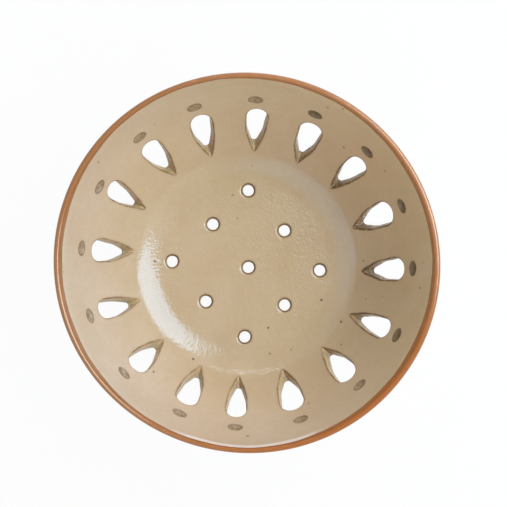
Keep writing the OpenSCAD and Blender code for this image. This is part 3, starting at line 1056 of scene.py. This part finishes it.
def lip_band():
    """Over the rounded lip, from the wavy line inside to a level line outside."""
    shell = Shell()
    over = RUN_LIP + HALF_T * math.pi
    front, back = [], []
    for share in 0.5 - 0.5 * np.cos(np.linspace(0, math.pi, 34)):
        run = BAND_RUN + (over - BAND_RUN) * share
        lip = np.minimum(run - BAND_RUN, (over - run) + LIP_BAND_DROP)
        front.append(shell.add(bowl_ring(run, 0.0), lip=lip))
        back.append(shell.add(bowl_ring(run, GLAZE_T)))
    for share in (0.2, 0.4, 0.6, 0.8, 0.92, 1.0):
        run = RUN_LIP + (BAND_END_RUN - RUN_LIP) * share
        front.append(shell.add(bowl_ring(run, WALL_T), lip=LIP_BAND_DROP * (1 - share)))
        back.append(shell.add(bowl_ring(run, CLAY_OUT)))
    shell.lofts(front[::-1])
    shell.lofts(back)
    shell.loft(front[0], back[0])
    shell.loft(back[-1], front[-1])
    return shell.make("Lip_band", orange_glaze)


def pool_under(shell, k, first, up):
    """The clay's face under a dimple's pool, from a first ring to the middle."""
    rows = [first] + [shell.add(pool_loop(k, q, pool_floor(q))) for q in UNDER_RINGS]
    shell.lofts(rows if up else rows[::-1])
    shell.close_disc(rows[-1], pool_loop(k, 0.0, pool_floor(0.0))[:1], up)


def clay_body():
    """The clay under the coats: pierced by the cutouts, pressed in under the dimples."""
    shell = Shell()
    fronts = openings(teardrop_loops(GLAZE_T, GLAZE_T) + drain_loops(DRAIN_SEAT))
    backs = openings(teardrop_loops(GLAZE_T, CLAY_OUT) + drain_loops(GLAZE_T))
    inner_face = triangulate(0.0, RUN_LIP, fronts + openings(pool_rims()), CLAY_STEP)
    outer_face = triangulate(0.0, RUN_LIP, backs, CLAY_STEP)
    front = shell.add_sheet(inner_face, GLAZE_T, True)
    back = shell.add_sheet(outer_face, CLAY_OUT, False)
    for low, high in zip(inner_face.loops, outer_face.loops):
        shell.loft(front[low], back[high])
    for k, loop in enumerate(inner_face.loops[len(fronts):]):
        pool_under(shell, k, front[loop], True)
    rows = [front[inner_face.outer]]
    for share in np.linspace(0, 1, 18)[1:-1]:
        rows.append(shell.add(bowl_ring(RUN_LIP + HALF_T * math.pi * share, GLAZE_T)))
    rows.append(back[outer_face.outer])
    shell.lofts(rows[::-1])
    return shell.make("Clay_body", fired_clay)


def lining(shell, loop_at, k, top_r, seat):
    """Glaze round one cutout's face: rounded over at both ends, flat against the clay.

    loop_at(k, grow, depth) gives the points at a distance outside the outline."""
    rows = []
    # The brown line lies where the rounding is steep, so its distance counts from there.
    lead = max(0.0, top_r - LINE_LEAD)
    quarter = math.pi / 2
    # An extra ring close to each end keeps the shading crisp there.
    for a in np.concatenate([[0, 0.04], np.linspace(0, quarter, 13)[1:]]):
        out, off = top_r * (1 - math.sin(a)), top_r * (1 - math.cos(a))
        rows.append(shell.add(loop_at(k, out, off), edge=lead - top_r * a))
    span = WALL_T - OUT_EDGE_R - top_r
    for share in (0.2, 0.4, 0.6, 0.8):
        edge = lead - top_r * quarter - span * share
        rows.append(shell.add(loop_at(k, 0.0, top_r + span * share), edge=edge))
    deep = top_r * quarter + span - lead
    for a in np.concatenate([np.linspace(0, quarter, 8)[:-1], [quarter - 0.05, quarter]]):
        out, off = OUT_EDGE_R * (1 - math.cos(a)), WALL_T - OUT_EDGE_R * (1 - math.sin(a))
        near = OUT_EDGE_R * (quarter - a)
        rows.append(shell.add(loop_at(k, out, off), edge=max(-deep - OUT_EDGE_R * a, -near - 0.02)))
    for out, off in ((OUT_EDGE_R, CLAY_OUT), (GLAZE_T, CLAY_OUT), (seat, GLAZE_T), (top_r, GLAZE_T)):
        rows.append(shell.add(loop_at(k, out, off)))
    shell.lofts(rows + rows[:1])


def teardrop_linings():
    shell = Shell()
    for k in range(TEARDROPS):
        lining(shell, teardrop_loop, k, EDGE_R, GLAZE_T)
    return shell.make("Teardrop_linings", edge_glaze)


def drain_linings():
    shell = Shell()
    for i in range(len(drains)):
        lining(shell, drain_loop, i, DRAIN_EDGE_R, DRAIN_SEAT)
    return shell.make("Drain_linings", edge_glaze)


def dimple_pools():
    """Glaze pooled in each pressed dimple, level with the coat round it."""
    shell = Shell()
    lip = DIMPLE_RUN - BAND_MEAN
    for k in range(TEARDROPS):
        rows = []
        for q in POOL_RINGS:
            depth = dimple_depth(q)
            rows.append(shell.add(pool_loop(k, q, depth), pool=min(1.0, depth / DIMPLE_DEPTH), lip=lip))
        shell.lofts(rows)
        shell.close_disc(rows[-1], pool_loop(k, 0.0, dimple_depth(0.0))[:1], True, pool=1.0)
        under = shell.add(pool_loop(k, POOL_REACH, GLAZE_T))
        pool_under(shell, k, under, False)
        shell.loft(under, rows[0])
    return shell.make("Dimple_pools", pooled_glaze)


def under_height(radius, off):
    """Height of the bowl's underside at a radius and a depth."""
    if radius < FLOOR_R:
        return FLOOR_Z - off
    slope = math.asin(min((radius - FLOOR_R) / (CURVE_R + off), 1))
    return CURVE_C[1] - (CURVE_R + off) * math.cos(slope)


def revolve(shell, profile, ripple=0.0, seed=0):
    """Closed ring from a closed section that runs anticlockwise in radius and height."""
    rows = []
    for r, z in profile:
        radius = r + (waves(TURNS + 0.4 * z, seed, ripple, (2, 5, 9)) if ripple else 0.0)
        height = np.full(TURN_STEPS, float(z))
        rows.append(shell.add(np.stack([radius * np.cos(TURNS), radius * np.sin(TURNS), height], -1)))
    shell.lofts(rows + rows[:1])


def foot_ring():
    """Turned ring with softened lower edges, its top hidden by the slip."""
    shell = Shell()
    inner, outer, edge = FOOT_OUT_R - FOOT_W, FOOT_OUT_R, 1.2
    groove, pace = 0.05, 5
    profile = [(r, 0.0) for r in np.linspace(inner + edge, outer - edge, 6)]
    for a in np.linspace(0, math.pi / 2, 9)[1:]:
        profile.append((outer - edge + edge * math.sin(a), edge - edge * math.cos(a)))
    # Shallow turning marks in the sides.
    for z in np.linspace(edge, under_height(outer, CLAY_OUT + SLIP_T), 12)[1:]:
        profile.append((outer - groove * (1 - math.cos(z * pace)), z))
    for r in np.linspace(outer, inner, 9)[1:]:
        profile.append((r, under_height(r, CLAY_OUT + SLIP_T)))
    for z in np.linspace(profile[-1][1], edge, 12)[1:]:
        profile.append((inner + groove * (1 - math.cos(z * pace)), z))
    for a in np.linspace(math.pi / 2, 0, 9)[1:-1]:
        profile.append((inner + edge - edge * math.sin(a), edge - edge * math.cos(a)))
    revolve(shell, profile, 0.06, 3)
    return shell.make("Foot_ring", fired_clay, crease=math.radians(60))


def slip_fillet(face, side):
    """Hollow fillet from the clay to one side of the foot ring, as radii and heights."""
    drop = under_height(face, CLAY_OUT) - under_height(face, CLAY_OUT + SLIP_T) + SLIP_FILLET
    fillet = []
    for a in np.linspace(0, math.pi / 2, 9):
        r = face + side * SLIP_FILLET * (1 - math.sin(a))
        fillet.append((r, under_height(r, CLAY_OUT) - drop * (1 - math.cos(a))))
    return fillet


def luting_slip():
    """The joint's slip, wiped into a hollow fillet on both sides of the ring."""
    shell = Shell()
    inner, outer = FOOT_OUT_R - FOOT_W, FOOT_OUT_R
    profile = [(r, under_height(r, CLAY_OUT + SLIP_T)) for r in np.linspace(inner, outer, 9)]
    profile += slip_fillet(outer, 1)[::-1]
    for r in np.linspace(outer + SLIP_FILLET, inner - SLIP_FILLET, 14)[1:-1]:
        profile.append((r, under_height(r, CLAY_OUT)))
    profile += slip_fillet(inner, -1)
    revolve(shell, profile)
    return shell.make("Luting_slip", fired_slip)


pieces = [
    (inside_glaze(), "inside_glaze", "beige_glaze"),
    (outside_glaze(), "outside_glaze", "beige_glaze"),
    (underside_glaze(), "underside_glaze", "beige_glaze"),
    (clay_body(), "clay_body", "fired_clay"),
    (lip_band(), "lip_band", "orange_glaze"),
    (teardrop_linings(), "teardrop_linings", "edge_glaze"),
    (drain_linings(), "drain_linings", "edge_glaze"),
    (dimple_pools(), "dimple_pools", "pooled_glaze"),
    (foot_ring(), "foot_ring", "fired_clay"),
    (luting_slip(), "luting_slip", "fired_slip"),
]
for piece, node, slot_name in pieces:
    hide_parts(node)


# Stage: a white floor that keeps a soft shadow, and softbox light.
def backdrop_material():
    """White to the camera and in reflections, plain pale paper for the light."""
    material, n = new_material("backdrop")
    paper = n.add("BsdfDiffuse")
    tone = n.ramp(n.noise(60, 3, 0.5), (0.3, 0.0), (0.7, 1.0))
    n.link(n.mix(tone, (0.8, 0.8, 0.8, 1), (0.84, 0.84, 0.84, 1)), paper.inputs[0])
    white = n.add("Emission")
    white.inputs[1].default_value = 1.0
    n.finish(n.times(n.seen(), 0.95), paper, white, "OutputMaterial")
    return material


def floor():
    far = 3.0
    mesh = bpy.data.meshes.new("Floor")
    mesh.from_pydata([(-far, -far, 0), (far, -far, 0), (far, far, 0), (-far, far, 0)], [], [(0, 1, 2, 3)])
    mesh.materials.append(backdrop_material())
    obj = show("Floor", mesh)
    obj.location.z = -0.2 * MM


# The point that the lamps face, and the size of the key light as the glaze shows it.
AIM = Vector((0, 0, 0.04))
KEY_WIDTH, KEY_HEIGHT = 1.5, 2.0


def softbox(name, azimuth, elevation, distance, width, height, watts, tint):
    """Area lamp that faces the bowl and doesn't show in the glaze. Sizes are in metres."""
    lamp = bpy.data.lights.new(name, "AREA")
    lamp.shape = "RECTANGLE"
    lamp.size, lamp.size_y = width, height
    lamp.energy = watts
    lamp.color = tint
    obj = show(name, lamp)
    a, e = math.radians(azimuth), math.radians(elevation)
    away = Vector((math.cos(a) * math.cos(e), math.sin(a) * math.cos(e), math.sin(e)))
    obj.location = AIM + away * distance
    obj.rotation_euler = away.to_track_quat("Z", "Y").to_euler()
    obj.visible_glossy = False
    return obj


def mirrored(name, strength, *place_and_light):
    """Softbox that shows in the glaze only, with a strength over its own face."""
    obj = softbox(name, *place_and_light)
    obj.visible_diffuse, obj.visible_glossy = False, True
    n = Nodes(obj.data)
    spot = n.split(n.add("NewGeometry").outputs["Parametric"])
    glow = n.add("Emission")
    n.link(strength(n, n.minus(spot[0], 0.5), n.minus(spot[1], 0.5)), glow.inputs[1])
    n.link(glow.outputs[0], n.add("OutputLight").inputs[0])


def card_glow(n, x, y):
    """A big pale card at the lower left, which gives the far side its broad soft sheen."""
    away = n.most(n.math("ABSOLUTE", x), n.math("ABSOLUTE", y))
    return n.ramp(away, (0.3, 1.0), (0.5, 0.0))


def strip_glow(n, x, y):
    """A thin bright strip low at the top, which draws a broken line near the bottom teardrops."""
    return n.ramp(n.math("SINE", n.times(x, 31)), (-0.3, 0.1), (0.7, 1.0))


def key_glow(n, x, y):
    """The key softbox as the glaze shows it: a tall diamond, fuller below."""
    x, y = n.times(x, KEY_WIDTH), n.times(y, KEY_HEIGHT)
    aside = n.math("ABSOLUTE", n.minus(x, n.times(y, 0.13)))
    up = n.most(n.math("DIVIDE", y, 0.95), n.math("DIVIDE", y, -1.35))
    inside = n.minus(1.0, n.plus(n.math("DIVIDE", aside, 0.66), up))
    return n.ramp(inside, (0.0, 0.0), (0.08, 1.0))


def world():
    """Dark to the bowl, which the lamps light, and white to the camera and in reflections."""
    studio = bpy.data.worlds.new("Studio")
    bpy.context.scene.world = studio
    n = Nodes(studio)
    room, white = n.add("Background"), n.add("Background")
    for background, strength in ((room, 0.0), (white, 1.0)):
        background.inputs[0].default_value = (1, 1, 1, 1)
        background.inputs[1].default_value = strength
    n.finish(n.seen(), room, white, "OutputWorld")


def camera():
    """Almost straight above, as in the photograph, with the bowl a little off centre."""
    rise, far = 88.7, 1.4
    data = bpy.data.cameras.new("Camera")
    data.sensor_width = 36
    data.lens = 191.2
    data.shift_x, data.shift_y = 0.0131, 0.0178
    obj = show("Camera", data)
    tilt = math.radians(90 - rise)
    away = Vector((0, -math.sin(tilt), math.cos(tilt)))
    obj.location = Vector((0, 0, BOWL_H * MM)) + away * far
    obj.rotation_euler = (tilt, 0, 0)
    bpy.context.scene.camera = obj


floor()
world()
softbox("Key", 23.5, 46, 1.25, 0.95, 1.35, 11.5, (1.0, 0.98, 0.46))
softbox("Sky", 23.5, 25, 1.3, 1.0, 0.6, 8.5, (0.0, 0.1, 1.0))
softbox("Fill_low_left", 203, 13, 1.3, 1.2, 0.4, 3.7, (0.85, 1.0, 0.65))
softbox("Fill_bottom", 270, 35, 1.3, 1.2, 1.0, 8.6, (0.9, 0.87, 1.0))
softbox("Fill_top", 90, 35, 1.3, 1.2, 1.0, 12.2, (0.68, 0.78, 1.0))
softbox("Fill_right", 330, 35, 1.3, 1.2, 1.0, 6.3, (0.43, 0.76, 1.0))
mirrored("Key_mirrored", key_glow, 23.5, 46, 1.2, KEY_WIDTH, KEY_HEIGHT, 73, (0.45, 0.72, 1.0))
mirrored("Card_mirrored", card_glow, 215, 42, 1.3, 2.4, 1.9, 15, (0.24, 0.66, 1.0))
mirrored("Strip_mirrored", strip_glow, 86, 22.5, 1.3, 1.0, 0.07, 3.4, (0.8, 0.9, 1.0))
camera()

bpy.context.scene.view_settings.view_transform = "Standard"
